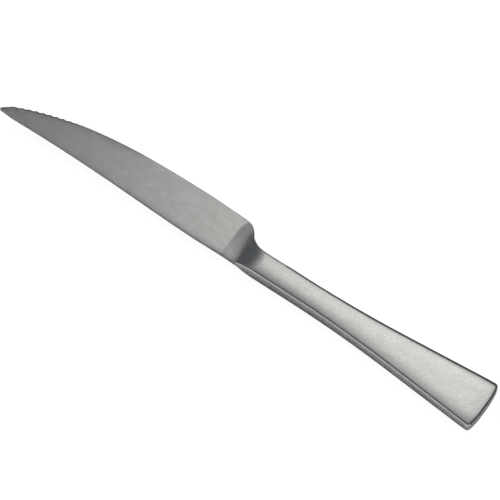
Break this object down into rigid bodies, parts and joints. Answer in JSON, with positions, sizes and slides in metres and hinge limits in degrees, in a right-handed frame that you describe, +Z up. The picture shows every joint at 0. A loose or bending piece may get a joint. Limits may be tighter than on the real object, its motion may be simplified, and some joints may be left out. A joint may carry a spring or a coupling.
{
  "type": "steak knife",
  "caption": "All-steel steak knife: a serrated, taper-ground blade with a tang cemented into a hollow flared handle of two pressed half shells.",
  "frame": {"origin": "centre of the bounding box, at the level the knife lies on", "axes": "+X towards the butt of the handle, +Y towards the cutting edge, +Z up from the face the knife lies on"},
  "size_m": [0.2352, 0.0249, 0.0091],
  "materials": {
    "blade_steel": "satin ground, grain along the blade",
    "handle_steel": "satin, fine grain",
    "cement": "cured resin cement with sand"
  },
  "bodies": {
    "root": {"blade": "blade_steel", "handle_shell_upper": "handle_steel", "handle_shell_lower": "handle_steel", "handle_cement": "cement"}
  },
  "joints": []
}
